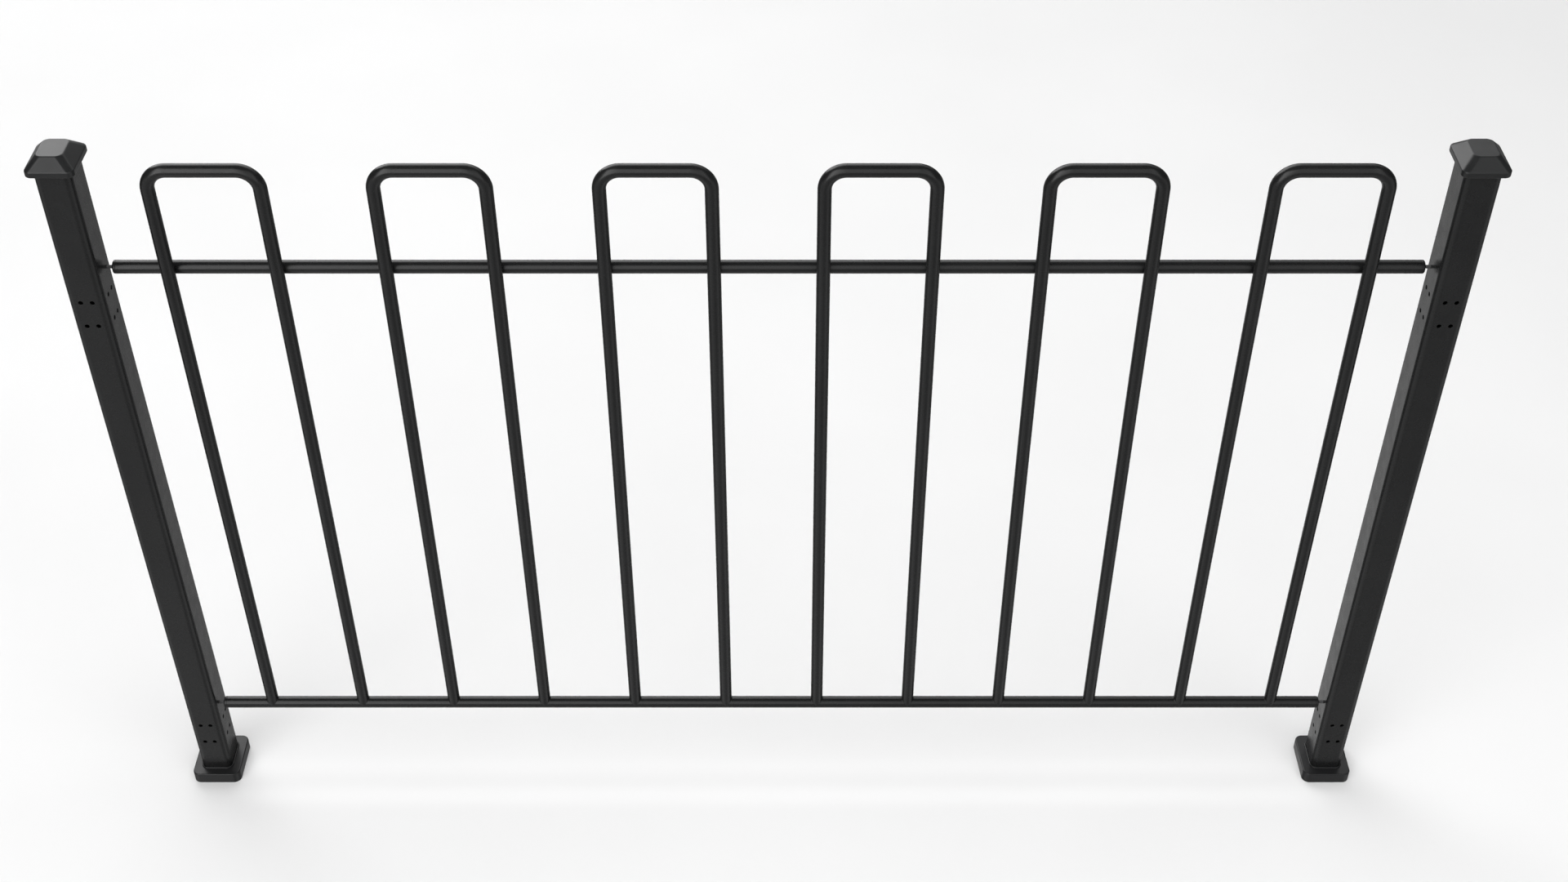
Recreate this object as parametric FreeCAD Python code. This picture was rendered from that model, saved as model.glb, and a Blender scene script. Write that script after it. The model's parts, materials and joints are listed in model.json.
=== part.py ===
import FreeCAD, Part
import math
import os

# Loop-top pool fence bay: one welded panel between two posts.
# Units are millimetres.  The origin is on the floor, midway between the posts.
# +X runs along the fence to the right-hand post, +Y points to the back, +Z is up.

# Layout
POST_X = 939.0              # each post's centreline from the middle of the bay
PICKET_PITCH = 150.0        # uprights are evenly spaced across the whole panel
LOOP_COUNT = 6              # each loop is one tube bent into two uprights
LOOP_TOP_Z = 1206.0         # highest point of the loops
LOWER_RAIL_Z = 160.0        # axis heights of the rails
UPPER_RAIL_Z = 1028.0
RAIL_HALF_LENGTH = 905.0    # to the outer face of the end plugs

# Round tube, the same for the rails and the loops
TUBE_R = 9.6
TUBE_WALL = 1.6
BEND_R = 29.0               # centreline radius of the loops' two bends
WELD_SET_DOWN = 0.5         # depth that each upright is pressed into the upper rail
PANEL_Y = -6.2              # plane of the loops and the lower rail
UPPER_RAIL_Y = PANEL_Y + 2 * TUBE_R - WELD_SET_DOWN

# Posts: rectangular tube, deeper than it is wide
POST_HALF_X = 25.0
POST_HALF_Y = 29.0
POST_CORNER_R = 9.5
POST_WALL = 2.0
POST_TOP_Z = 1208.0

# Bracket holes: a rectangle of four in the front face and in the inner face, at two heights
BRACKET_HOLE_R = 3.25
BRACKET_HALF_WIDTH = 8.0
BRACKET_HALF_HEIGHT = 20.0
BRACKET_CENTRES_Z = (106.3, 976.0)

# Base plate under each post
PLATE_HALF_X = 35.0
PLATE_HALF_Y = 39.0
PLATE_CORNER_R = 6.0
PLATE_T = 6.0
ANCHOR_HOLE_R = 3.5
ANCHOR_X = 28.0
ANCHOR_Y = 32.0

# Base cover: a loose shell round the post, with a low lip at its opening
COVER_HALF_X = 39.5
COVER_HALF_Y = 44.0
COVER_CORNER_R = 12.0
COVER_H = 20.0
COVER_WALL = 2.5
COVER_EDGE_R = 2.0
COVER_CLEARANCE = 0.4
LIP_WALL = 1.6
LIP_TOP_Z = 22.5
LIP_EDGE_R = 1.4

# Post cap: skirt, 45 degree bevel, flat top, and a spigot that presses into the post
CAP_HALF_X = 33.0
CAP_HALF_Y = 37.3
CAP_CORNER_R = 9.0
CAP_BOTTOM_Z = 1203.3
CAP_SKIRT_TOP_Z = 1212.0
CAP_TOP_Z = 1228.0
CAP_BEVEL = 15.3
CAP_TOP_CORNER_R = 9.5
CAP_WALL = 2.2
CAP_SPIGOT_BOTTOM_Z = 1183.0
CAP_RECESS_CLEARANCE = 0.2
CAP_SKIRT_EDGE_R = 1.8

# Rail ends: plug, stud and weld nut
PLUG_FLANGE_T = 4.5
PLUG_EDGE_R = 2.0
PLUG_INSERT_LENGTH = 18.0
STUD_R = 2.5
STUD_DEPTH_IN_PLUG = 16.0
STUD_PAST_NUT = 1.0
STUD_CHAMFER = 0.5
STUD_HOLE_R = 2.75
NUT_ACROSS_FLATS = 8.0
NUT_T = 4.0

SIDES = (("left", -1), ("right", 1))
RAILS = (("upper", UPPER_RAIL_Y, UPPER_RAIL_Z), ("lower", PANEL_Y, LOWER_RAIL_Z))
X_AXIS = FreeCAD.Vector(1, 0, 0)
Y_AXIS = FreeCAD.Vector(0, 1, 0)
Z_AXIS = FreeCAD.Vector(0, 0, 1)


def vec(x, y, z):
    return FreeCAD.Vector(x, y, z)


def rounded_wire(centre_x, half_x, half_y, radius, z):
    """Rectangle with rounded corners, centred on (centre_x, 0)."""
    near_x = half_x - radius
    near_y = half_y - radius
    diagonal = radius * math.sqrt(0.5)
    edges = []
    corners = ((1, -1, 0), (1, 1, 90), (-1, 1, 180), (-1, -1, 270))
    for index, (sign_x, sign_y, _) in enumerate(corners):
        arc_centre = vec(centre_x + sign_x * near_x, sign_y * near_y, z)
        along_x = arc_centre + vec(sign_x * radius, 0, 0)
        along_y = arc_centre + vec(0, sign_y * radius, 0)
        middle = arc_centre + vec(sign_x * diagonal, sign_y * diagonal, 0)
        start, end = (along_y, along_x) if sign_x * sign_y < 0 else (along_x, along_y)
        edges.append(Part.Arc(start, middle, end).toShape())
        next_x, next_y, _ = corners[(index + 1) % 4]
        next_centre = vec(centre_x + next_x * near_x, next_y * near_y, z)
        if next_x == sign_x:
            next_start = next_centre + vec(next_x * radius, 0, 0)
        else:
            next_start = next_centre + vec(0, next_y * radius, 0)
        edges.append(Part.LineSegment(end, next_start).toShape())
    return Part.Wire(edges)


def rounded_prism(centre_x, half_x, half_y, radius, z0, z1):
    face = Part.Face(rounded_wire(centre_x, half_x, half_y, radius, z0))
    return face.extrude(vec(0, 0, z1 - z0))


def rounded_taper(centre_x, bottom, top, z0, z1):
    """Frustum between two rounded rectangles, each given as (half_x, half_y, radius)."""
    wires = [rounded_wire(centre_x, *bottom, z0), rounded_wire(centre_x, *top, z1)]
    return Part.makeLoft(wires, True, True)


def horizontal_edges(shape, z):
    """The edges of a shape that lie flat at one height."""
    found = []
    for edge in shape.Edges:
        box = edge.BoundBox
        if abs(box.ZMin - z) < 1e-4 and abs(box.ZMax - z) < 1e-4:
            found.append(edge)
    return found


def post(side):
    """Rectangular tube with the bracket holes and the two stud holes."""
    x = side * POST_X
    outer = rounded_prism(x, POST_HALF_X, POST_HALF_Y, POST_CORNER_R, PLATE_T, POST_TOP_Z)
    bore = rounded_prism(x, POST_HALF_X - POST_WALL, POST_HALF_Y - POST_WALL,
                         POST_CORNER_R - POST_WALL, PLATE_T, POST_TOP_Z)
    cutters = [bore]
    before_front = -POST_HALF_Y - POST_WALL
    before_inner = side * (POST_X - POST_HALF_X - POST_WALL)
    outward = X_AXIS * side
    depth = 3 * POST_WALL
    for centre_z in BRACKET_CENTRES_Z:
        for z in (centre_z - BRACKET_HALF_HEIGHT, centre_z + BRACKET_HALF_HEIGHT):
            for offset in (-BRACKET_HALF_WIDTH, BRACKET_HALF_WIDTH):
                front = vec(x + offset, before_front, z)
                inner = vec(before_inner, offset, z)
                cutters.append(Part.makeCylinder(BRACKET_HOLE_R, depth, front, Y_AXIS))
                cutters.append(Part.makeCylinder(BRACKET_HOLE_R, depth, inner, outward))
    for _, rail_y, rail_z in RAILS:
        start = vec(before_inner, rail_y, rail_z)
        cutters.append(Part.makeCylinder(STUD_HOLE_R, depth, start, outward))
    return outer.cut(cutters)


def base_plate(side):
    x = side * POST_X
    plate = rounded_prism(x, PLATE_HALF_X, PLATE_HALF_Y, PLATE_CORNER_R, 0, PLATE_T)
    holes = []
    for dx in (-ANCHOR_X, ANCHOR_X):
        for dy in (-ANCHOR_Y, ANCHOR_Y):
            holes.append(Part.makeCylinder(ANCHOR_HOLE_R, PLATE_T, vec(x + dx, dy, 0), Z_AXIS))
    return plate.cut(holes)


def base_cover(side):
    """Shell that hides the plate.  Its opening clears the post, so it can slide up."""
    x = side * POST_X
    open_x = POST_HALF_X + COVER_CLEARANCE
    open_y = POST_HALF_Y + COVER_CLEARANCE
    open_r = POST_CORNER_R + COVER_CLEARANCE
    tier = rounded_prism(x, COVER_HALF_X, COVER_HALF_Y, COVER_CORNER_R, 0, COVER_H)
    tier = tier.makeFillet(COVER_EDGE_R, horizontal_edges(tier, COVER_H))
    lip = rounded_prism(x, open_x + LIP_WALL, open_y + LIP_WALL, open_r + LIP_WALL,
                        COVER_H - COVER_WALL, LIP_TOP_Z)
    lip = lip.makeFillet(LIP_EDGE_R, horizontal_edges(lip, LIP_TOP_Z))
    cavity = rounded_prism(x, COVER_HALF_X - COVER_WALL, COVER_HALF_Y - COVER_WALL,
                           COVER_CORNER_R - COVER_WALL, 0, COVER_H - COVER_WALL)
    opening = rounded_prism(x, open_x, open_y, open_r, 0, LIP_TOP_Z)
    return tier.fuse(lip).cut([cavity, opening])


def post_cap(side):
    """Moulded cap: it sits on the post's end and its hollow spigot fills the bore."""
    x = side * POST_X
    skirt = rounded_prism(x, CAP_HALF_X, CAP_HALF_Y, CAP_CORNER_R, CAP_BOTTOM_Z, CAP_SKIRT_TOP_Z)
    skirt = skirt.makeFillet(CAP_SKIRT_EDGE_R, horizontal_edges(skirt, CAP_BOTTOM_Z))
    top_x = CAP_HALF_X - CAP_BEVEL
    top_y = CAP_HALF_Y - CAP_BEVEL
    crown = rounded_taper(x, (CAP_HALF_X, CAP_HALF_Y, CAP_CORNER_R),
                          (top_x, top_y, CAP_TOP_CORNER_R), CAP_SKIRT_TOP_Z, CAP_TOP_Z)
    seat_x = POST_HALF_X + CAP_RECESS_CLEARANCE
    seat_y = POST_HALF_Y + CAP_RECESS_CLEARANCE
    seat = rounded_prism(x, seat_x, seat_y, POST_CORNER_R, CAP_BOTTOM_Z, POST_TOP_Z)
    spigot_x = POST_HALF_X - POST_WALL
    spigot_y = POST_HALF_Y - POST_WALL
    spigot_r = POST_CORNER_R - POST_WALL
    spigot = rounded_prism(x, spigot_x, spigot_y, spigot_r, CAP_SPIGOT_BOTTOM_Z, POST_TOP_Z)
    core_x = spigot_x - CAP_WALL
    core_y = spigot_y - CAP_WALL
    core_r = spigot_r - CAP_WALL
    core = rounded_prism(x, core_x, core_y, core_r, CAP_SPIGOT_BOTTOM_Z, CAP_SKIRT_TOP_Z)
    core_top = rounded_taper(x, (core_x, core_y, core_r),
                             (top_x - CAP_WALL, top_y - CAP_WALL, CAP_TOP_CORNER_R - CAP_WALL),
                             CAP_SKIRT_TOP_Z, CAP_TOP_Z - CAP_WALL)
    return skirt.fuse(crown).cut(seat).fuse(spigot).cut([core, core_top])


def loop_tube(left_x, radius):
    """One bent tube, solid, from the lower rail's axis up, across and down again."""
    right_x = left_x + PICKET_PITCH
    top_z = LOOP_TOP_Z - TUBE_R
    turn_z = top_z - BEND_R
    diagonal = BEND_R * math.sqrt(0.5)
    left_bend = vec(left_x + BEND_R, PANEL_Y, turn_z)
    right_bend = vec(right_x - BEND_R, PANEL_Y, turn_z)
    left_foot = vec(left_x, PANEL_Y, LOWER_RAIL_Z)
    right_foot = vec(right_x, PANEL_Y, LOWER_RAIL_Z)
    left_turn = vec(left_x, PANEL_Y, turn_z)
    right_turn = vec(right_x, PANEL_Y, turn_z)
    top_left = left_bend + vec(0, 0, BEND_R)
    top_right = right_bend + vec(0, 0, BEND_R)
    path = Part.Wire([
        Part.LineSegment(left_foot, left_turn).toShape(),
        Part.Arc(left_turn, left_bend + vec(-diagonal, 0, diagonal), top_left).toShape(),
        Part.LineSegment(top_left, top_right).toShape(),
        Part.Arc(top_right, right_bend + vec(diagonal, 0, diagonal), right_turn).toShape(),
        Part.LineSegment(right_turn, right_foot).toShape(),
    ])
    section = Part.Wire([Part.makeCircle(radius, left_foot, Z_AXIS)])
    return path.makePipeShell([section], True, False)


def loop(index):
    """Bent tube whose two ends are coped to sit on the lower rail."""
    left_x = (2 * index + 0.5 - LOOP_COUNT) * PICKET_PITCH
    tube = loop_tube(left_x, TUBE_R).cut(loop_tube(left_x, TUBE_R - TUBE_WALL))
    rail_start = vec(left_x - PICKET_PITCH, PANEL_Y, LOWER_RAIL_Z)
    rail = Part.makeCylinder(TUBE_R, 3 * PICKET_PITCH, rail_start, X_AXIS)
    return tube.cut(rail)


def rail_tube(y, z):
    half = RAIL_HALF_LENGTH - PLUG_FLANGE_T
    outer = Part.makeCylinder(TUBE_R, 2 * half, vec(-half, y, z), X_AXIS)
    bore = Part.makeCylinder(TUBE_R - TUBE_WALL, 2 * half, vec(-half, y, z), X_AXIS)
    return outer.cut(bore)


def upper_rail():
    """Rail behind the uprights, with a shallow saddle pressed in by each of them."""
    saddles = []
    for index in range(2 * LOOP_COUNT):
        x = (index + 0.5 - LOOP_COUNT) * PICKET_PITCH
        start = vec(x, PANEL_Y, UPPER_RAIL_Z - 2 * TUBE_R)
        saddles.append(Part.makeCylinder(TUBE_R, 4 * TUBE_R, start, Z_AXIS))
    return rail_tube(UPPER_RAIL_Y, UPPER_RAIL_Z).cut(saddles)


def rail_plug(side, y, z):
    """End plug: rounded flange outside the tube, insert inside, threaded for the stud."""
    outward = X_AXIS * side
    shoulder = vec(side * (RAIL_HALF_LENGTH - PLUG_FLANGE_T), y, z)
    face_x = side * RAIL_HALF_LENGTH
    flange = Part.makeCylinder(TUBE_R, PLUG_FLANGE_T, shoulder, outward)
    rim = []
    for edge in flange.Edges:
        box = edge.BoundBox
        if abs(box.XMin - face_x) < 1e-4 and abs(box.XMax - face_x) < 1e-4:
            rim.append(edge)
    flange = flange.makeFillet(PLUG_EDGE_R, rim)
    insert = Part.makeCylinder(TUBE_R - TUBE_WALL, PLUG_INSERT_LENGTH, shoulder, outward * -1)
    thread = Part.makeCylinder(STUD_R, STUD_DEPTH_IN_PLUG, vec(face_x, y, z), outward * -1)
    return flange.fuse(insert).cut(thread)


def stud_span(side):
    """Inner end of the stud and its length, measured outward along the rail."""
    start = RAIL_HALF_LENGTH - STUD_DEPTH_IN_PLUG
    end = POST_X - POST_HALF_X + POST_WALL + NUT_T + STUD_PAST_NUT
    return side * start, end - start


def rail_stud(side, y, z):
    start_x, length = stud_span(side)
    stud = Part.makeCylinder(STUD_R, length, vec(start_x, y, z), X_AXIS * side)
    ends = [edge for edge in stud.Edges if edge.BoundBox.XLength < 1e-4]
    return stud.makeChamfer(STUD_CHAMFER, ends)


def weld_nut(side, y, z):
    """Hexagon nut welded to the inside of the post's inner wall."""
    face_x = side * (POST_X - POST_HALF_X + POST_WALL)
    corner_r = NUT_ACROSS_FLATS / math.sqrt(3)
    points = []
    for index in range(7):
        angle = math.radians(60 * index)
        points.append(vec(face_x, y + corner_r * math.cos(angle), z + corner_r * math.sin(angle)))
    hexagon = Part.Face(Part.makePolygon(points)).extrude(vec(side * NUT_T, 0, 0))
    thread = Part.makeCylinder(STUD_R, NUT_T, vec(face_x, y, z), X_AXIS * side)
    return hexagon.cut(thread)


def build_nodes():
    nodes = {"upper_rail": upper_rail(), "lower_rail": rail_tube(PANEL_Y, LOWER_RAIL_Z)}
    for index in range(LOOP_COUNT):
        nodes["loop_%d" % (index + 1)] = loop(index)
    for name, side in SIDES:
        nodes[name + "_post"] = post(side)
        nodes[name + "_post_cap"] = post_cap(side)
        nodes[name + "_base_plate"] = base_plate(side)
        nodes[name + "_base_cover"] = base_cover(side)
        for rail_name, rail_y, rail_z in RAILS:
            prefix = "%s_%s_" % (rail_name, name)
            nodes[prefix + "plug"] = rail_plug(side, rail_y, rail_z)
            nodes[prefix + "stud"] = rail_stud(side, rail_y, rail_z)
            nodes[prefix + "nut"] = weld_nut(side, rail_y, rail_z)
    return nodes


os.makedirs("parts", exist_ok=True)
for node, shape in build_nodes().items():
    print(node, shape.isValid(), len(shape.Solids), round(shape.Volume, 1))
    shape.exportStep("parts/" + node + ".step")
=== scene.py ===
import json
import math
import random

import bmesh
import bpy
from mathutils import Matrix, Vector


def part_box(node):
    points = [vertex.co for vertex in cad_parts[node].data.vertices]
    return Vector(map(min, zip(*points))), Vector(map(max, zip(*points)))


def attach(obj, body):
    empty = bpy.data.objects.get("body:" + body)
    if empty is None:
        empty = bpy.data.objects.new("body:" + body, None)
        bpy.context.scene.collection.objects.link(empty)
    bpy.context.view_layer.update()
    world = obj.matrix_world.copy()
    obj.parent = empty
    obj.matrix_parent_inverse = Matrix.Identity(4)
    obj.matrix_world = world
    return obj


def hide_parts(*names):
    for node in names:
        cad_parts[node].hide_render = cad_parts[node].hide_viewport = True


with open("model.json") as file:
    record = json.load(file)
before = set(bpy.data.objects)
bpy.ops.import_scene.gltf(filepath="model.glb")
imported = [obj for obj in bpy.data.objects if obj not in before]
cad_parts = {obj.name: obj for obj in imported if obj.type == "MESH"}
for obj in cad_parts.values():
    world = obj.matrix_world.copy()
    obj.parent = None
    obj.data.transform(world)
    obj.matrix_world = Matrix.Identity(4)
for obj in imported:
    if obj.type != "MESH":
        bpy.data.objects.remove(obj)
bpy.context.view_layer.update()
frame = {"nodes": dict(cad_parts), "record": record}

# A loop-top pool fence bay: smooth tubes, posts, caps and covers built over the CAD frame.
# Metres.  +X runs along the fence, +Y is its back, +Z is up.

random.seed(7)

SIDES = (("left", -1), ("right", 1))
FENCE = "fence"             # the body that everything but the two covers rides on
MM_PER_M = 1000

# ---------------------------------------------------------------- sizes the frame doesn't give
LOOP_COUNT = 6
TUBE_WALL = 0.0016
BEND_R = 0.029              # centreline radius of the loops' bends
POST_CORNER_R = 0.0095
POST_WALL = 0.002
POST_END_CHAMFER = 0.0004
BRACKET_HOLE_R = 0.00325
BRACKET_HOLE_FLARE = 0.0006
STUD_R = 0.0025
STUD_HOLE_R = 0.00275
STUD_HOLE_FLARE = 0.0003
COVER_CORNER_R = 0.012
COVER_WALL = 0.0025
COVER_H = 0.020
COVER_EDGE_R = 0.0020
COVER_FOOT_R = 0.0005
LIP_WALL = 0.0016
LIP_EDGE_R = 0.0014
LIP_ROOT_R = 0.0002         # where the lip rises from the cover's top
LIP_MOUTH_R = 0.00015       # the lip's edge towards the post
COVER_CLEARANCE = 0.0004
CAP_CORNER_R = 0.009
CAP_TOP_CORNER_R = 0.0095
CAP_SKIRT_H = 0.0087
CAP_CROWN_H = 0.016
CAP_BEVEL = 0.0153
CAP_EDGE_R = 0.0018
CAP_SHOULDER_R = 0.003      # round between the skirt and the bevel
CAP_CREST_R = 0.0025        # round between the bevel and the flat top
CAP_GUARD = 0.001           # rings this far from the crest keep the flats beside it flat
CAP_TOP_RING = 0.008        # the next ring in, on the flat top
CAP_WALL = 0.0022
CAP_TIP_INSET = 0.0008      # lead-in at the spigot's end
CAP_TIP_RISE = 0.0012
CAP_SEAT_DEPTH = 0.004
CAP_SEAT_CLEARANCE = 0.0002
PLUG_FLANGE_T = 0.0045
PLUG_EDGE_R = 0.002
PLUG_BORE_CHAMFER = 0.0004
TUBE_END_CHAMFER = 0.0003   # makes the crease between a rail and its plug
WELD_R = 0.0012             # weld fillet where an upright stands on the lower rail
WELD_SINK = 0.00005         # how far a weld foot dips into the rail, so no gap shows
FOOT_HEIGHT = 1.6           # top of an upright's foot over the rail's axis, in tube radii
FOOT_HUB_HEIGHT = 0.6       # point inside the rail that closes an upright, in tube radii
BEAD_PROFILE = ((0.0046, -0.0008), (0.0054, -0.0004), (0.0056, 0.0), (0.0054, 0.0004), (0.0046, 0.0008))
BEAD_WOBBLE = 0.05          # unevenness of a weld bead, as a share of its radius
# depth and widening down the rounded edge of a hole, in flares
HOLE_EDGE = ((1.0, 0.0), (0.45, 0.12), (0.12, 0.45), (0.0, 1.0))

TUBE_STEPS = 64             # facets round a tube
BEND_STEPS = 24             # facets along a bend
CORNER_STEPS = 10           # facets round a rounded corner
HOLE_STEPS = 40             # facets round a hole
BEAD_STEPS = 28             # facets round a weld bead
WELD_STEPS = 4              # facets across a weld fillet
CAP_ROUND_STEPS = 6         # facets across a round of the cap
RAIL_STATIONS = 12          # rings along each half of a rail
UPRIGHT_STATIONS = 10       # rings along an upright
MERGE_DISTANCE = 1e-7

# edges sharper than this many degrees stay sharp in the shading
SHARP_DEG = 35.0
MOULDING_SHARP_DEG = 42.0
LOOP_SHARP_DEG = 50.0
BEAD_SHARP_DEG = 60.0

# a ring small enough to be closed by one flat face, as (half_x, half_y, radius)
CENTRE_RING = (0.002, 0.002, 0.0015)


# ---------------------------------------------------------------- meshes
def new_piece(name, bm, material, sharp_deg=SHARP_DEG):
    """Turns a bmesh into a smooth-shaded object whose flat faces stay flat."""
    bmesh.ops.remove_doubles(bm, verts=bm.verts, dist=MERGE_DISTANCE)
    bmesh.ops.recalc_face_normals(bm, faces=bm.faces)
    mesh = bpy.data.meshes.new(name)
    bm.to_mesh(mesh)
    bm.free()
    piece = bpy.data.objects.new(name, mesh)
    bpy.context.scene.collection.objects.link(piece)
    mesh.materials.append(material)
    finish_shading(piece, sharp_deg)
    return piece


def finish_shading(piece, sharp_deg=SHARP_DEG):
    """Smooth shading that keeps sharp edges, with normals that favour the large flat faces."""
    mesh = piece.data
    mesh.shade_smooth()
    mesh.set_sharp_from_angle(angle=math.radians(sharp_deg))
    weighted = piece.modifiers.new("Flat faces", "WEIGHTED_NORMAL")
    weighted.mode = "FACE_AREA"
    weighted.weight = 50
    weighted.keep_sharp = True


def rounded_outline(half_x, half_y, radius):
    """Points of a rectangle with rounded corners, counter-clockwise, always the same number."""
    points = []
    for quarter, (sx, sy) in enumerate(((1, 1), (-1, 1), (-1, -1), (1, -1))):
        for step in range(CORNER_STEPS + 1):
            angle = math.radians(90 * (quarter + step / CORNER_STEPS))
            points.append((sx * (half_x - radius) + radius * math.cos(angle),
                           sy * (half_y - radius) + radius * math.sin(angle)))
    return points


def add_loops(bm, loops, join_ends):
    """Bridges rings of equal length.  With join_ends the last ring meets the first."""
    rings = [[bm.verts.new(co) for co in loop] for loop in loops]
    pairs = list(zip(rings, rings[1:]))
    if join_ends:
        pairs.append((rings[-1], rings[0]))
    for lower, upper in pairs:
        count = len(lower)
        for i in range(count):
            j = (i + 1) % count
            bm.faces.new((lower[i], lower[j], upper[j], upper[i]))
    return rings


def box_rings(centre_x, profile):
    """Rings of a rounded rectangle; profile rows are (half_x, half_y, radius, z)."""
    rings = []
    for half_x, half_y, radius, z in profile:
        outline = rounded_outline(half_x, half_y, radius)
        rings.append([(centre_x + x, y, z) for x, y in outline])
    return rings


def fillet(start, end, centre, steps=5):
    """(inset, z) points of a quarter round from start to end about centre."""
    a0 = math.atan2(start[1] - centre[1], start[0] - centre[0])
    a1 = math.atan2(end[1] - centre[1], end[0] - centre[0])
    while a1 - a0 > math.pi:
        a1 -= 2 * math.pi
    while a1 - a0 < -math.pi:
        a1 += 2 * math.pi
    radius = math.hypot(start[0] - centre[0], start[1] - centre[1])
    points = []
    for i in range(steps + 1):
        angle = a0 + (a1 - a0) * i / steps
        points.append((centre[0] + radius * math.cos(angle), centre[1] + radius * math.sin(angle)))
    return points


def lathe_x(bm, profile, x_sign, axis_y, axis_z):
    """Turns a closed outline of (x, radius) rows about a line along X."""
    rings = []
    for x, radius in profile:
        ring = []
        for i in range(TUBE_STEPS):
            angle = 2 * math.pi * i / TUBE_STEPS
            ring.append((x_sign * x, axis_y + radius * math.cos(angle), axis_z + radius * math.sin(angle)))
        rings.append(ring)
    add_loops(bm, rings, join_ends=True)


def box_sizes(node_name):
    """Middle x, half width, half depth, bottom and top of a node's box."""
    low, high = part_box(node_name)
    return (low[0] + high[0]) / 2, (high[0] - low[0]) / 2, (high[1] - low[1]) / 2, low[2], high[2]


# ---------------------------------------------------------------- materials
def node(tree, kind, **inputs):
    """New node with some of its sockets set; an underscore stands for a space."""
    made = tree.nodes.new(kind)
    for name, value in inputs.items():
        made.inputs[name.replace("_", " ")].default_value = value
    return made


def ramp(tree, source, low, high, low_at=0.35, high_at=0.65):
    """Colour ramp between two greys or colours, driven by a 0..1 socket."""
    made = tree.nodes.new("ShaderNodeValToRGB")
    made.color_ramp.elements[0].position = low_at
    made.color_ramp.elements[1].position = high_at
    made.color_ramp.elements[0].color = low
    made.color_ramp.elements[1].color = high
    tree.links.new(source, made.inputs["Fac"])
    return made


def grey(value):
    return (value, value, value, 1.0)


def map_range(tree, source, low, high, to_low=0.0, to_high=1.0):
    made = tree.nodes.new("ShaderNodeMapRange")
    for name, value in (("From Min", low), ("From Max", high), ("To Min", to_low), ("To Max", to_high)):
        made.inputs[name].default_value = value
    tree.links.new(source, made.inputs["Value"])
    return made.outputs["Result"]


def maths(tree, operation, first, second):
    made = tree.nodes.new("ShaderNodeMath")
    made.operation = operation
    tree.links.new(first, made.inputs[0])
    tree.links.new(second, made.inputs[1])
    return made.outputs["Value"]


def blend_levels(tree, factor, first, second):
    """Mix of two brightness levels; each is a number or a socket."""
    made = tree.nodes.new("ShaderNodeMix")
    tree.links.new(factor, made.inputs["Factor"])
    for name, level in (("A", first), ("B", second)):
        if isinstance(level, float):
            made.inputs[name].default_value = level
        else:
            tree.links.new(level, made.inputs[name])
    return made.outputs["Result"]


MOTTLE = 0.14               # how far a coating's tone strays, as a share of it


def coated(name, colour, roughness, spread, peel_size, peel_height, specular):
    """Dark coating: faint mottling of colour and gloss over an orange-peel bump."""
    material = bpy.data.materials.new(name)
    material.use_nodes = True
    tree = material.node_tree
    shader = tree.nodes["Principled BSDF"]
    shader.inputs["Specular IOR Level"].default_value = specular
    coords = tree.nodes.new("ShaderNodeTexCoord")
    mottle = node(tree, "ShaderNodeTexNoise", Scale=9.0, Detail=4.0)
    tree.links.new(coords.outputs["Object"], mottle.inputs["Vector"])
    dark = [part * (1 - MOTTLE) for part in colour] + [1.0]
    light = [part * (1 + MOTTLE) for part in colour] + [1.0]
    tone = ramp(tree, mottle.outputs["Fac"], dark, light)
    tree.links.new(tone.outputs["Color"], shader.inputs["Base Color"])
    gloss_noise = node(tree, "ShaderNodeTexNoise", Scale=55.0, Detail=3.0)
    tree.links.new(coords.outputs["Object"], gloss_noise.inputs["Vector"])
    gloss = ramp(tree, gloss_noise.outputs["Fac"], grey(roughness - spread), grey(roughness + spread))
    tree.links.new(gloss.outputs["Color"], shader.inputs["Roughness"])
    peel = node(tree, "ShaderNodeTexNoise", Scale=1.0 / peel_size, Detail=2.0)
    tree.links.new(coords.outputs["Object"], peel.inputs["Vector"])
    bump = node(tree, "ShaderNodeBump", Strength=1.0, Distance=peel_height)
    tree.links.new(peel.outputs["Fac"], bump.inputs["Height"])
    tree.links.new(bump.outputs["Normal"], shader.inputs["Normal"])
    return material


POWDER = coated("Powder coat", colour=(0.0082, 0.0084, 0.0086), roughness=0.27, spread=0.03,
                peel_size=0.0022, peel_height=0.000012, specular=0.5)
CAP_PLASTIC = coated("Cap plastic", colour=(0.0120, 0.0124, 0.0128), roughness=0.31, spread=0.03,
                     peel_size=0.0006, peel_height=0.000006, specular=0.5)
COVER_PLASTIC = coated("Cover plastic", colour=(0.0122, 0.0125, 0.0130), roughness=0.32, spread=0.04,
                       peel_size=0.0006, peel_height=0.000008, specular=0.43)
PLUG_PLASTIC = coated("Plug plastic", colour=(0.0070, 0.0072, 0.0074), roughness=0.34, spread=0.04,
                      peel_size=0.0006, peel_height=0.000008, specular=0.5)
PHOSPHATE = coated("Grey phosphate", colour=(0.072, 0.072, 0.074), roughness=0.60, spread=0.05,
                   peel_size=0.0004, peel_height=0.000010, specular=0.3)

# ---------------------------------------------------------------- what the frame gives
low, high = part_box("lower_rail")
TUBE_R = (high[2] - low[2]) / 2
PANEL_Y = (low[1] + high[1]) / 2
LOWER_RAIL_Z = (low[2] + high[2]) / 2
RAIL_X = high[0]
low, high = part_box("upper_rail")
UPPER_RAIL_Y = high[1] - TUBE_R
UPPER_RAIL_Z = (low[2] + high[2]) / 2
PLUG_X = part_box("upper_right_plug")[1][0]


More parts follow.
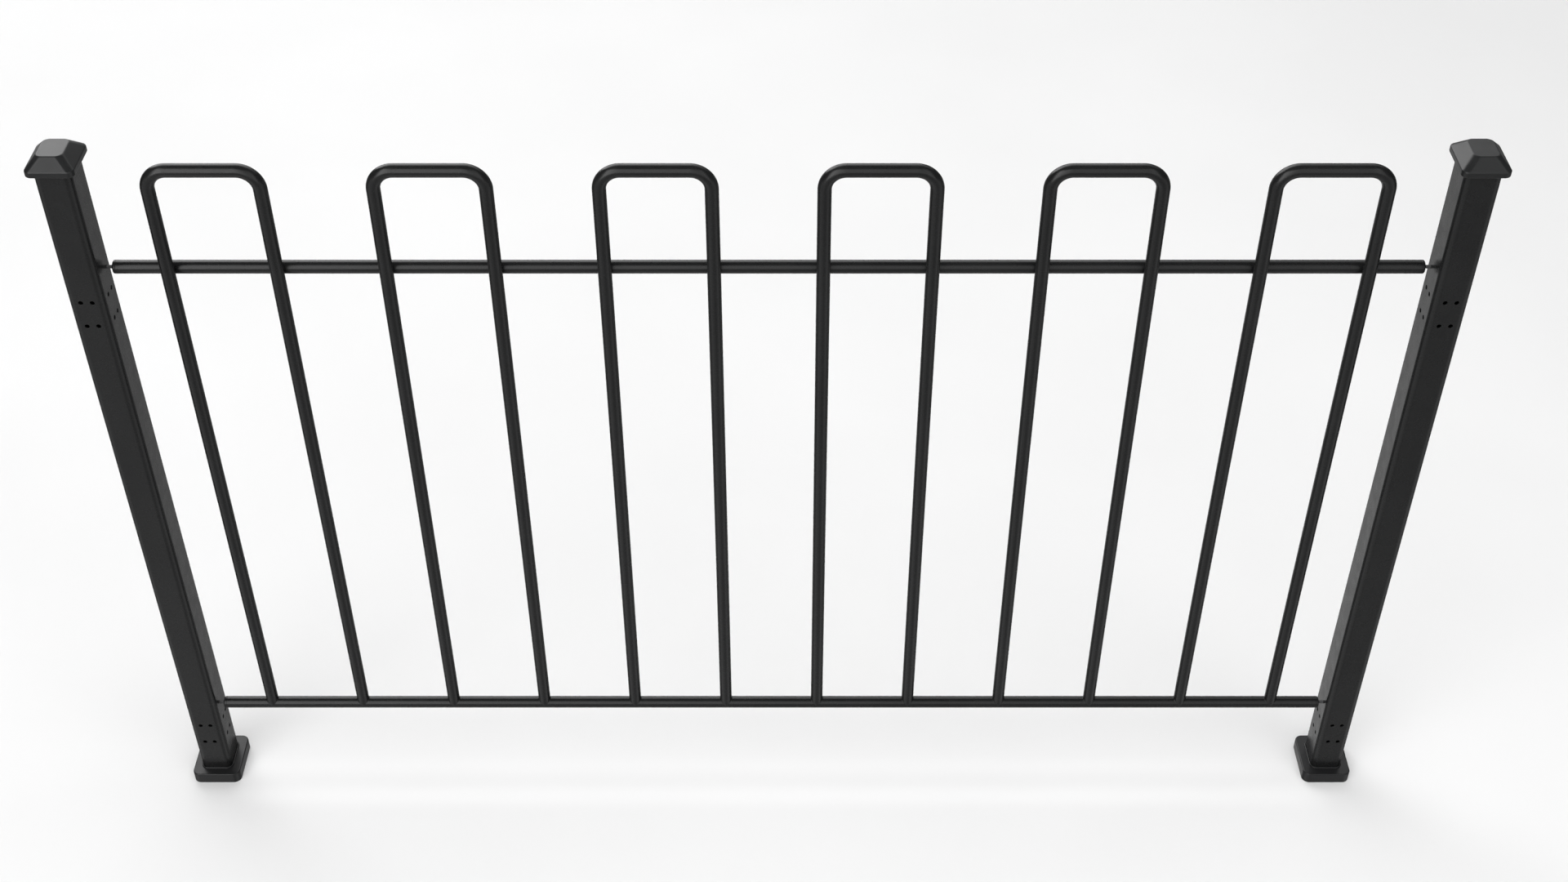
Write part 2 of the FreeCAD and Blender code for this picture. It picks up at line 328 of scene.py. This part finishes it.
# ---------------------------------------------------------------- rails and their plugs
def rail(name, node_name, axis_y, axis_z):
    """Hollow tube, open at both ends."""
    bm = bmesh.new()
    half = [(0.0, TUBE_R)]
    for station in range(1, RAIL_STATIONS + 1):
        half.append(((RAIL_X - TUBE_END_CHAMFER) * station / RAIL_STATIONS, TUBE_R))
    half += [(RAIL_X, TUBE_R - TUBE_END_CHAMFER), (RAIL_X, TUBE_R - TUBE_WALL)]
    profile = [(-x, radius) for x, radius in reversed(half)] + half[1:]
    lathe_x(bm, profile, 1, axis_y, axis_z)
    piece = new_piece(name, bm, POWDER)
    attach(piece, FENCE)
    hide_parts(node_name)


def plug(rail_name, side_name, side, axis_y, axis_z):
    """Rounded end plug, with its crease against the tube and its insert inside."""
    bm = bmesh.new()
    node_name = "%s_%s_plug" % (rail_name, side_name)
    low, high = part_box(node_name)
    insert_x = min(abs(low[0]), abs(high[0]))
    shoulder = PLUG_X - PLUG_FLANGE_T
    insert_r = TUBE_R - TUBE_WALL
    profile = [(insert_x, STUD_R), (insert_x, insert_r), (shoulder, insert_r),
               (shoulder, TUBE_R - TUBE_END_CHAMFER), (shoulder + TUBE_END_CHAMFER, TUBE_R)]
    rim_centre = (PLUG_X - PLUG_EDGE_R, TUBE_R - PLUG_EDGE_R)
    profile += fillet((rim_centre[0], TUBE_R), (PLUG_X, rim_centre[1]), rim_centre, steps=8)
    profile += [(PLUG_X, STUD_R + PLUG_BORE_CHAMFER), (PLUG_X - PLUG_BORE_CHAMFER, STUD_R)]
    lathe_x(bm, profile, side, axis_y, axis_z)
    piece = new_piece(node_name + "_cap", bm, PLUG_PLASTIC)
    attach(piece, FENCE)
    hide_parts(node_name)


# ---------------------------------------------------------------- loops
def loop_path(left_x, right_x, top_z):
    """(point, in-plane normal) along the centreline, from the left foot round to the right."""
    turn_z = top_z - BEND_R
    path = []
    for i in range(UPRIGHT_STATIONS):
        rise = turn_z - LOWER_RAIL_Z - TUBE_R * FOOT_HEIGHT
        z = LOWER_RAIL_Z + TUBE_R * FOOT_HEIGHT + rise * i / UPRIGHT_STATIONS
        path.append(((left_x, z), (-1.0, 0.0)))
    for i in range(BEND_STEPS + 1):
        angle = math.radians(180 - 90 * i / BEND_STEPS)
        normal = (math.cos(angle), math.sin(angle))
        path.append(((left_x + BEND_R + BEND_R * normal[0], turn_z + BEND_R * normal[1]), normal))
    for i in range(BEND_STEPS + 1):
        angle = math.radians(90 - 90 * i / BEND_STEPS)
        normal = (math.cos(angle), math.sin(angle))
        path.append(((right_x - BEND_R + BEND_R * normal[0], turn_z + BEND_R * normal[1]), normal))
    for i in range(1, UPRIGHT_STATIONS + 1):
        z = turn_z + (LOWER_RAIL_Z + TUBE_R * FOOT_HEIGHT - turn_z) * i / UPRIGHT_STATIONS
        path.append(((right_x, z), (1.0, 0.0)))
    return path


def foot_rings(x, normal_x):
    """Coped end of an upright with its weld fillet, from the tube down to the rail."""
    rings = []
    for step in range(WELD_STEPS + 1):
        turn = math.radians(90 * step / WELD_STEPS)
        ring = []
        for i in range(TUBE_STEPS):
            angle = 2 * math.pi * i / TUBE_STEPS
            across = math.cos(angle)
            size = WELD_R * across * across
            reach = TUBE_R + size * (1 - math.cos(turn))
            dy = reach * math.sin(angle)
            under = max(TUBE_R * TUBE_R - dy * dy, 0.0)
            z = LOWER_RAIL_Z + math.sqrt(under) + size * (1 - math.sin(turn))
            ring.append((x + normal_x * reach * across, PANEL_Y + dy, z - WELD_SINK))
        rings.append(ring)
    return rings


def loop(index):
    """One bent tube with a welded foot at each end; gives back where its two uprights stand."""
    low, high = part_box("loop_%d" % index)
    left_x = low[0] + TUBE_R
    right_x = high[0] - TUBE_R
    top_z = high[2] - TUBE_R
    rings = list(reversed(foot_rings(left_x, -1.0)))
    for (x, z), (nx, nz) in loop_path(left_x, right_x, top_z):
        ring = []
        for i in range(TUBE_STEPS):
            angle = 2 * math.pi * i / TUBE_STEPS
            out = TUBE_R * math.cos(angle)
            ring.append((x + nx * out, PANEL_Y + TUBE_R * math.sin(angle), z + nz * out))
        rings.append(ring)
    rings += foot_rings(right_x, 1.0)
    bm = bmesh.new()
    made = add_loops(bm, rings, join_ends=False)
    for ring, x in ((made[0], left_x), (made[-1], right_x)):
        hub = bm.verts.new((x, PANEL_Y, LOWER_RAIL_Z + TUBE_R * FOOT_HUB_HEIGHT))
        for i in range(TUBE_STEPS):
            bm.faces.new((ring[i], ring[(i + 1) % TUBE_STEPS], hub))
    piece = new_piece("Loop_%d_tube" % index, bm, POWDER, sharp_deg=LOOP_SHARP_DEG)
    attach(piece, FENCE)
    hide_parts("loop_%d" % index)
    return left_x, right_x


def weld_beads(xs):
    """Small flash of weld between each upright and the rail behind it."""
    bm = bmesh.new()
    contact_y = PANEL_Y + TUBE_R
    for x in xs:
        rings = []
        wobble = [1.0 + BEAD_WOBBLE * random.uniform(-1, 1) for _ in range(BEAD_STEPS)]
        for radius, depth in BEAD_PROFILE:
            ring = []
            for i in range(BEAD_STEPS):
                angle = 2 * math.pi * i / BEAD_STEPS
                reach = radius * wobble[i]
                ring.append((x + reach * math.cos(angle), contact_y + depth,
                             UPPER_RAIL_Z + reach * math.sin(angle)))
            rings.append(ring)
        made = add_loops(bm, rings, join_ends=False)
        bm.faces.new(made[0])
        bm.faces.new(made[-1])
    piece = new_piece("Upper_rail_weld_beads", bm, POWDER, sharp_deg=BEAD_SHARP_DEG)
    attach(piece, FENCE)


# ---------------------------------------------------------------- posts
def hole_cutter(bm, centre, direction, radius, flare):
    """Pin with a flared end, along X or Y, that cuts one hole and rounds its edge."""
    # (distance out of the face, radius), from inside the tube to outside it
    rows = [(-2 * POST_WALL, radius)]
    rows += [(-flare * depth, radius + flare * widening) for depth, widening in HOLE_EDGE]
    rows.append((POST_WALL, radius + flare * 3))
    axis = Vector(direction)
    side = Vector((0, 0, 1)).cross(axis)
    rings = []
    for along, reach in rows:
        ring = []
        for i in range(HOLE_STEPS):
            angle = 2 * math.pi * i / HOLE_STEPS
            offset = side * (reach * math.cos(angle)) + Vector((0, 0, reach * math.sin(angle)))
            ring.append(tuple(Vector(centre) + axis * along + offset))
        rings.append(ring)
    made = add_loops(bm, rings, join_ends=False)
    bm.faces.new(made[0])
    bm.faces.new(made[-1])


def post(side_name, side, patterns):
    """Hollow post with its bracket holes and the two holes for the rail studs."""
    x, half_x, half_y, z0, z1 = box_sizes(side_name + "_post")
    in_x = half_x - POST_WALL
    in_y = half_y - POST_WALL
    in_r = POST_CORNER_R - POST_WALL
    edge = POST_END_CHAMFER
    profile = [
        (half_x - edge, half_y - edge, POST_CORNER_R - edge, z0),
        (half_x, half_y, POST_CORNER_R, z0 + edge),
        (half_x, half_y, POST_CORNER_R, z1 - edge),
        (half_x - edge, half_y - edge, POST_CORNER_R - edge, z1),
        (in_x, in_y, in_r, z1),
        (in_x, in_y, in_r, z0),
    ]
    bm = bmesh.new()
    add_loops(bm, box_rings(x, profile), join_ends=True)
    piece = new_piece(side_name.capitalize() + "_post_tube", bm, POWDER)

    cutters = bmesh.new()
    for pattern in patterns:
        cx, cy, cz = pattern["pos_m"]
        ax, ay, _ = pattern["axis"]
        half_w = pattern["dims"]["spacing_x_mm"] / 2 / MM_PER_M
        half_h = pattern["dims"]["spacing_y_mm"] / 2 / MM_PER_M
        for dz in (-half_h, half_h):
            for dw in (-half_w, half_w):
                centre = (cx + dw * abs(ay), cy + dw * abs(ax), cz + dz)
                hole_cutter(cutters, centre, (ax, ay, 0), BRACKET_HOLE_R, BRACKET_HOLE_FLARE)
    for rail_y, rail_z in ((UPPER_RAIL_Y, UPPER_RAIL_Z), (PANEL_Y, LOWER_RAIL_Z)):
        inner_face = (x - side * half_x, rail_y, rail_z)
        hole_cutter(cutters, inner_face, (-side, 0, 0), STUD_HOLE_R, STUD_HOLE_FLARE)
    cutter = new_piece(side_name + "_cutter", cutters, POWDER)
    cut = piece.modifiers.new("Holes", "BOOLEAN")
    cut.operation = "DIFFERENCE"
    cut.solver = "EXACT"
    cut.object = cutter
    piece.modifiers.move(len(piece.modifiers) - 1, 0)
    bake_modifiers(piece)
    bpy.data.objects.remove(cutter)
    finish_shading(piece)
    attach(piece, FENCE)
    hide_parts(side_name + "_post")


def bake_modifiers(piece):
    """Replaces a piece's mesh by what its modifiers make of it."""
    depsgraph = bpy.context.evaluated_depsgraph_get()
    made = bpy.data.meshes.new_from_object(piece.evaluated_get(depsgraph))
    piece.modifiers.clear()
    piece.data = made


# ---------------------------------------------------------------- caps and base covers
def post_cap(side_name):
    """Hollow cap: spigot, skirt, 45 degree bevel and flat top, from the inside round to the outside."""
    x, half_x, half_y, spigot_z, top_z = box_sizes(side_name + "_post_cap")
    _, post_x, post_y, _, _ = box_sizes(side_name + "_post")
    skirt_z = top_z - CAP_CROWN_H
    base_z = skirt_z - CAP_SKIRT_H

    def outer(inset, z):
        """The crown's corners widen up to the flat top, whose own rings keep one distance apart."""
        share = min(max(inset / CAP_BEVEL, 0.0), 1.0)
        past_bevel = max(inset - CAP_BEVEL, 0.0)
        radius = CAP_CORNER_R + (CAP_TOP_CORNER_R - CAP_CORNER_R) * share - past_bevel
        return (half_x - inset, half_y - inset, radius, z)

    seat = (post_x + CAP_SEAT_CLEARANCE, post_y + CAP_SEAT_CLEARANCE, POST_CORNER_R)
    spigot = (post_x - POST_WALL, post_y - POST_WALL, POST_CORNER_R - POST_WALL)
    tip = tuple(size - CAP_TIP_INSET for size in spigot)
    core = tuple(size - CAP_WALL for size in spigot)
    core_top = (half_x - CAP_BEVEL - CAP_WALL, half_y - CAP_BEVEL - CAP_WALL, CAP_TOP_CORNER_R - CAP_WALL)
    profile = [
        CENTRE_RING + (top_z - CAP_WALL,),
        core_top + (top_z - CAP_WALL,),
        core + (skirt_z,),
        core + (spigot_z,),
        tip + (spigot_z,),
        spigot + (spigot_z + CAP_TIP_RISE,),
        spigot + (base_z + CAP_SEAT_DEPTH,),
        seat + (base_z + CAP_SEAT_DEPTH,),
        seat + (base_z,),
    ]
    edge = CAP_EDGE_R
    for inset, z in fillet((edge, base_z), (0, base_z + edge), (edge, base_z + edge)):
        profile.append(outer(inset, z))
    # the skirt turns into the 45 degree bevel over a small round
    bevel = math.radians(45)
    turn = math.tan(bevel / 2) * CAP_SHOULDER_R
    for i in range(CAP_ROUND_STEPS + 1):
        angle = bevel * i / CAP_ROUND_STEPS
        inset = CAP_SHOULDER_R * (1 - math.cos(angle))
        z = skirt_z - turn + CAP_SHOULDER_R * math.sin(angle)
        profile.append(outer(inset, z))
    # and the bevel into the flat top over another
    crest = math.tan(bevel / 2) * CAP_CREST_R
    start_inset = CAP_BEVEL - crest * math.sqrt(0.5)
    start_z = top_z - crest * math.sqrt(0.5)
    profile.append(outer(start_inset - CAP_GUARD, start_z - CAP_GUARD))
    for i in range(CAP_ROUND_STEPS + 1):
        angle = bevel * i / CAP_ROUND_STEPS
        along = CAP_CREST_R * (math.sin(bevel) - math.sin(bevel - angle))
        rise = CAP_CREST_R * (math.cos(bevel - angle) - math.cos(bevel))
        profile.append(outer(start_inset + along, start_z + rise))
    for past_crest in (CAP_GUARD, CAP_TOP_RING):
        profile.append(outer(CAP_BEVEL + crest + past_crest, top_z))
    profile.append(CENTRE_RING + (top_z,))
    bm = bmesh.new()
    made = add_loops(bm, box_rings(x, profile), join_ends=False)
    bm.faces.new(made[0])
    bm.faces.new(made[-1])
    name = side_name.capitalize() + "_post_cap_moulding"
    piece = new_piece(name, bm, CAP_PLASTIC, sharp_deg=MOULDING_SHARP_DEG)
    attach(piece, FENCE)
    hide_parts(side_name + "_post_cap")


def base_cover(side_name):
    """Moulded box round the foot, open underneath, with a low lip round the post."""
    x, half_x, half_y, _, lip_top = box_sizes(side_name + "_base_cover")
    _, post_x, post_y, _, _ = box_sizes(side_name + "_post")
    open_x = post_x + COVER_CLEARANCE
    open_y = post_y + COVER_CLEARANCE
    open_r = POST_CORNER_R + COVER_CLEARANCE

    def outer(inset, z):
        return (half_x - inset, half_y - inset, COVER_CORNER_R - inset, z)

    def lip(outset, z):
        return (open_x + outset, open_y + outset, open_r + outset, z)

    profile = [outer(COVER_WALL, 0.0)]
    foot = COVER_FOOT_R
    for inset, z in fillet((foot, 0.0), (0.0, foot), (foot, foot), steps=3):
        profile.append(outer(inset, z))
    edge = COVER_EDGE_R
    for inset, z in fillet((0.0, COVER_H - edge), (edge, COVER_H), (edge, COVER_H - edge), steps=8):
        profile.append(outer(inset, z))
    root = LIP_ROOT_R
    for outset, z in fillet((LIP_WALL + root, COVER_H), (LIP_WALL, COVER_H + root),
                            (LIP_WALL + root, COVER_H + root), steps=4):
        profile.append(lip(outset, z))
    top = LIP_EDGE_R
    for outset, z in fillet((LIP_WALL, lip_top - top), (LIP_WALL - top, lip_top),
                            (LIP_WALL - top, lip_top - top), steps=5):
        profile.append(lip(outset, z))
    mouth = LIP_MOUTH_R
    for outset, z in fillet((mouth, lip_top), (0.0, lip_top - mouth), (mouth, lip_top - mouth), steps=3):
        profile.append(lip(outset, z))
    profile.append(lip(0.0, COVER_H - COVER_WALL))
    profile.append(outer(COVER_WALL, COVER_H - COVER_WALL))
    bm = bmesh.new()
    add_loops(bm, box_rings(x, profile), join_ends=True)
    name = side_name.capitalize() + "_base_cover_moulding"
    piece = new_piece(name, bm, COVER_PLASTIC, sharp_deg=MOULDING_SHARP_DEG)
    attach(piece, side_name + "_cover")
    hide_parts(side_name + "_base_cover")


# ---------------------------------------------------------------- build
upright_xs = []
for number in range(1, LOOP_COUNT + 1):
    upright_xs += loop(number)
weld_beads(upright_xs)

for rail_name, rail_y, rail_z in (("upper", UPPER_RAIL_Y, UPPER_RAIL_Z), ("lower", PANEL_Y, LOWER_RAIL_Z)):
    rail(rail_name.capitalize() + "_rail_tube", rail_name + "_rail", rail_y, rail_z)
    for side_name, side in SIDES:
        plug(rail_name, side_name, side, rail_y, rail_z)

bracket_patterns = [m for m in frame["record"]["mounts"] if m["name"].endswith("bracket_holes")]
for side_name, side in SIDES:
    mine = [m for m in bracket_patterns if m["name"].startswith(side_name)]
    post(side_name, side, mine)
    post_cap(side_name)
    base_cover(side_name)

# the small hardware keeps its CAD mesh and gets a material
for name, cad in frame["nodes"].items():
    if name.endswith(("_stud", "_nut")):
        cad.data.materials.clear()
        cad.data.materials.append(PHOSPHATE)
    elif name.endswith("_base_plate"):
        cad.data.materials.clear()
        cad.data.materials.append(POWDER)

# ---------------------------------------------------------------- floor
FLOOR_HALF = 12.0
FLOOR_TONES = (0.84, 0.86)
FLOOR_ROUGHNESS = 0.9
FLOOR_SPECULAR = 0.1
# far from the fence the floor lights itself, so it stays as pale as the backdrop
FLOOR_GLOW_FROM = 4.0
FLOOR_GLOW = 0.75


def floor():
    """Plain pale floor, which reflections don't see."""
    bm = bmesh.new()
    signs = ((-1, -1), (1, -1), (1, 1), (-1, 1))
    bm.faces.new([bm.verts.new((sx * FLOOR_HALF, sy * FLOOR_HALF, 0.0)) for sx, sy in signs])
    material = bpy.data.materials.new("Studio floor")
    material.use_nodes = True
    tree = material.node_tree
    shader = tree.nodes["Principled BSDF"]
    shader.inputs["Roughness"].default_value = FLOOR_ROUGHNESS
    shader.inputs["Specular IOR Level"].default_value = FLOOR_SPECULAR
    coords = tree.nodes.new("ShaderNodeTexCoord")
    noise = node(tree, "ShaderNodeTexNoise", Scale=1.5, Detail=2.0)
    tree.links.new(coords.outputs["Object"], noise.inputs["Vector"])
    tone = ramp(tree, noise.outputs["Fac"], grey(FLOOR_TONES[0]), grey(FLOOR_TONES[1]))
    tree.links.new(tone.outputs["Color"], shader.inputs["Base Color"])
    outward = tree.nodes.new("ShaderNodeVectorMath")
    outward.operation = "LENGTH"
    tree.links.new(coords.outputs["Object"], outward.inputs[0])
    glow = map_range(tree, outward.outputs["Value"], FLOOR_GLOW_FROM, FLOOR_HALF, 0.0, FLOOR_GLOW)
    tree.links.new(glow, shader.inputs["Emission Strength"])
    piece = new_piece("Studio_floor", bm, material)
    piece.visible_glossy = False


floor()

# ---------------------------------------------------------------- light
WALL_DISTANCE = 8.0         # from the fence to the middle of each strip
WALL_FOOT_Z = 0.3           # height that the strips' angles are measured from
STRIP_WIDTH = 2.0
# strips from left to right: (x, lowest degree, highest degree, radiance)
BACK_STRIPS = ((-7, 12, 62, 3.0), (-5, 12, 62, 2.9), (-3, 13, 62, 2.5), (-1, 15, 62, 2.2),
               (1, 19, 62, 1.6), (3, 28, 62, 0.88), (5, 33, 62, 0.5), (7, 30, 62, 0.4))
FRONT_STRIPS = ((-7, 0, 72, 2.6), (-5, 0, 68, 2.6), (-3, 0, 59, 1.8), (-1, 0, 55, 1.25),
                (1, 0, 55, 0.66), (3, 0, 59, 0.58), (5, 0, 68, 0.85), (7, 0, 72, 0.9))


def softbox(name, centre, euler, width, height, radiance):
    """Rectangular soft light with a given brightness of its face."""
    data = bpy.data.lights.new(name, "AREA")
    data.shape = "RECTANGLE"
    data.size = width
    data.size_y = height
    data.energy = radiance * math.pi * width * height
    lamp = bpy.data.objects.new(name, data)
    lamp.location = centre
    lamp.rotation_euler = euler
    lamp.visible_camera = False
    bpy.context.scene.collection.objects.link(lamp)
    return lamp


def light_wall(name, facing, strips):
    """Curtain of softboxes; facing is 1 behind the fence and -1 before it."""
    for index, (x, low_deg, high_deg, radiance) in enumerate(strips):
        middle = math.radians((low_deg + high_deg) / 2)
        height = 2 * WALL_DISTANCE * math.tan(math.radians((high_deg - low_deg) / 2))
        y = facing * WALL_DISTANCE * math.cos(middle)
        z = WALL_FOOT_Z + WALL_DISTANCE * math.sin(middle)
        tilt = (math.pi / 2 - middle) * -facing
        softbox("%s_%d" % (name, index + 1), (x, y, z), (tilt, 0.0, 0.0), STRIP_WIDTH, height, radiance)


light_wall("Back_wall", 1, BACK_STRIPS)
light_wall("Front_wall", -1, FRONT_STRIPS)
top_fill = softbox("Top_fill", centre=(1.4, -1.2, 6.0), euler=(0.0, 0.0, 0.0), width=7.0, height=6.0,
                   radiance=2.0)
top_fill.visible_glossy = False

# brightness of the ground as the pieces reflect it, by compass angle: 0 is the front, -90 the left
GROUND_LEVELS = ((-180, 0.26), (-165, 0.56), (-152, 0.60), (-138, 0.13), (-110, 0.14), (-88, 0.20),
                 (-66, 0.54), (-45, 0.42), (-23, 0.40), (-8, 0.28), (17, 0.22), (35, 0.32), (64, 0.54),
                 (86, 0.20), (112, 0.20), (145, 0.13), (155, 0.34), (168, 0.36), (180, 0.26))
# the ground is paler straight below than further out: (z of the direction, factor)
GROUND_FAR = (-0.50, 0.95)
GROUND_NEAR = (-0.72, 1.25)
CEILING_LEVEL = 0.06
HORIZON_BLEND = 0.04
BACKDROP_LEVEL = 0.93       # what the camera sees past the floor


def studio_world():
    """Pale to the eye; in reflections a dim ceiling and a ground that varies all round."""
    world = bpy.data.worlds.new("Studio")
    bpy.context.scene.world = world
    world.use_nodes = True
    tree = world.node_tree
    background = tree.nodes["Background"]
    background.inputs["Color"].default_value = (1.0, 1.0, 1.0, 1.0)
    coords = tree.nodes.new("ShaderNodeTexCoord")
    split = tree.nodes.new("ShaderNodeSeparateXYZ")
    tree.links.new(coords.outputs["Generated"], split.inputs["Vector"])
    frontward = map_range(tree, split.outputs["Y"], -1.0, 1.0, 1.0, -1.0)
    compass = maths(tree, "ARCTAN2", split.outputs["X"], frontward)
    around = tree.nodes.new("ShaderNodeValToRGB")
    stops = around.color_ramp.elements
    stops[1].position = 1.0
    for angle, _ in GROUND_LEVELS[1:-1]:
        stops.new((angle + 180) / 360)
    for stop, (angle, level) in zip(stops, GROUND_LEVELS):
        stop.position = (angle + 180) / 360
        stop.color = grey(level)
    tree.links.new(map_range(tree, compass, -math.pi, math.pi), around.inputs["Fac"])
    far_z, far_factor = GROUND_FAR
    near_z, near_factor = GROUND_NEAR
    nearness = map_range(tree, split.outputs["Z"], far_z, near_z, far_factor, near_factor)
    ground = maths(tree, "MULTIPLY", around.outputs["Color"], nearness)
    above = map_range(tree, split.outputs["Z"], -HORIZON_BLEND, HORIZON_BLEND)
    reflected = blend_levels(tree, above, ground, CEILING_LEVEL)
    path = tree.nodes.new("ShaderNodeLightPath")
    seen = blend_levels(tree, path.outputs["Is Camera Ray"], reflected, BACKDROP_LEVEL)
    tree.links.new(seen, background.inputs["Strength"])


studio_world()

# ---------------------------------------------------------------- camera
SENSOR_MM = 36.0
LENS_MM = 45.67
CLIP_END = 100.0
CAMERA_X = 0.0210
CAMERA_BEFORE_PANEL = 2.2301
CAMERA_Z = 2.6261
CAMERA_DOWN_DEG = 40.408

camera_data = bpy.data.cameras.new("Camera")
camera_data.sensor_width = SENSOR_MM
camera_data.lens = LENS_MM
camera_data.clip_end = CLIP_END
camera = bpy.data.objects.new("Camera", camera_data)
camera.location = (CAMERA_X, PANEL_Y - CAMERA_BEFORE_PANEL, CAMERA_Z)
camera.rotation_euler = (math.radians(90 - CAMERA_DOWN_DEG), 0.0, 0.0)
bpy.context.scene.collection.objects.link(camera)
bpy.context.scene.camera = camera
bpy.context.scene.view_settings.view_transform = "Standard"
